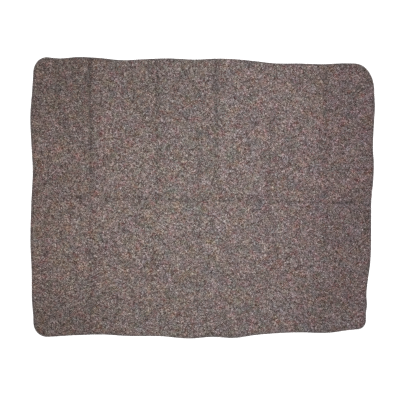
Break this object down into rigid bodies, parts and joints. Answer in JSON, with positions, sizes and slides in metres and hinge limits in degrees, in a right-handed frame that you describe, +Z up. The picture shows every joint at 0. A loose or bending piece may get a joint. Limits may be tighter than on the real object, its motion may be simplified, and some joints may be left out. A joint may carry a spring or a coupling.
{
  "type": "felt moving blanket laid out flat",
  "caption": "Rectangular felt moving blanket laid out flat, with wavy sides, rounded corners and soft packing folds.",
  "frame": {"origin": "under the middle of the blanket's bounding box, on the surface it lies on", "axes": "+X along the long side, +Y along the short side, +Z up, out of the face that shows"},
  "size_m": [1.8288, 1.494, 0.0084],
  "materials": {
    "felt": "matte heather felt of mixed recycled fibres, taupe brown with light, dark, red, orange and green flecks"
  },
  "bodies": {
    "root": {"felt_blanket": "felt"}
  },
  "joints": []
}
